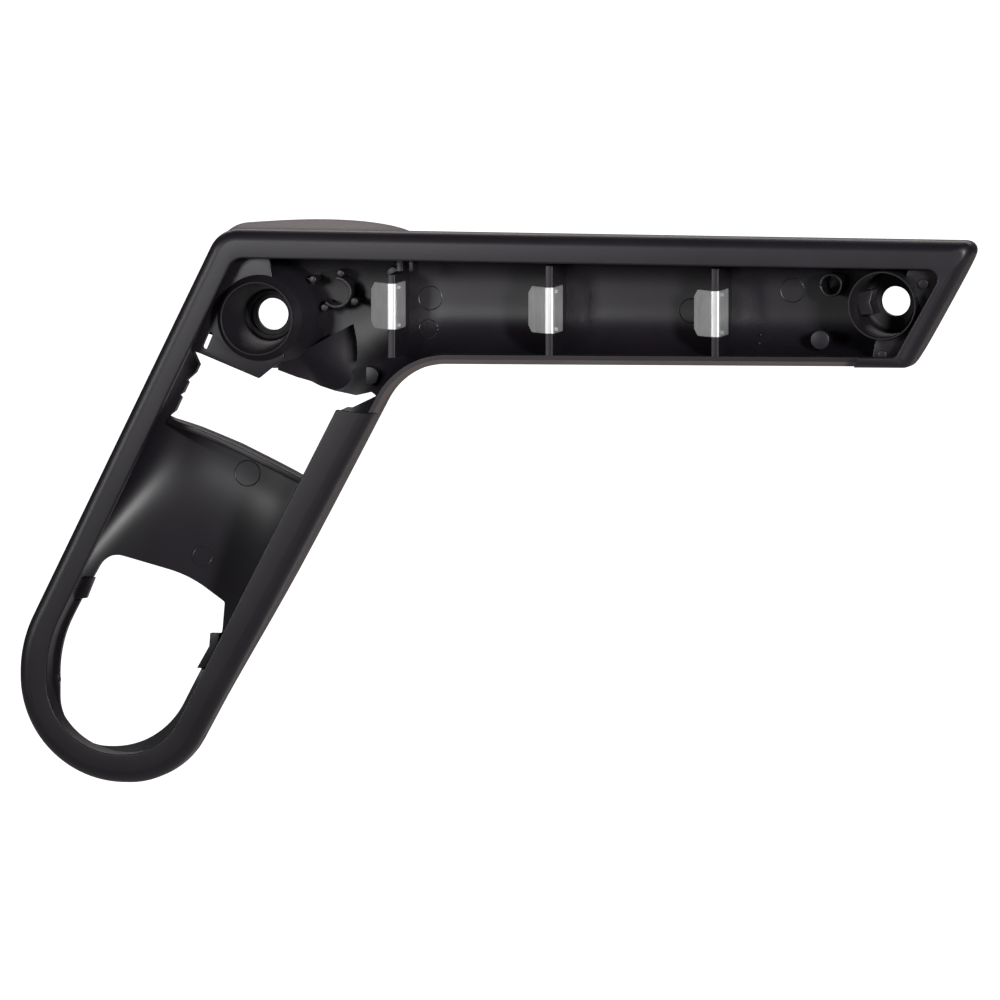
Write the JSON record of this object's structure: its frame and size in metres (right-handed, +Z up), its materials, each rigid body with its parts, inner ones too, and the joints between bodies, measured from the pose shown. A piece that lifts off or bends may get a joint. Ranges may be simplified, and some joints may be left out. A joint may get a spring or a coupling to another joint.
{
  "type": "car door pull handle trim",
  "caption": "Fixed pull handle trim of a car door: a hollow slanted grip bar joined to an arm with a round open loop, with screw cups, ribs and spring clips on its door side.",
  "frame": {"origin": "centre of the screw hole in the corner cup, on the seat that the screw head rests on, 29 mm behind the door plane", "axes": "+X along the grip bar to its slanted free end, +Y from the door to the hand side, +Z up, away from the loop"},
  "size_m": [0.3017, 0.035, 0.1756],
  "materials": {
    "black_plastic": "satin",
    "spring_steel": "bright"
  },
  "bodies": {
    "root": {"grip_shell": "black_plastic", "surround_frame": "black_plastic", "clip_left": "spring_steel", "clip_middle": "spring_steel", "clip_right": "spring_steel"}
  },
  "joints": []
}
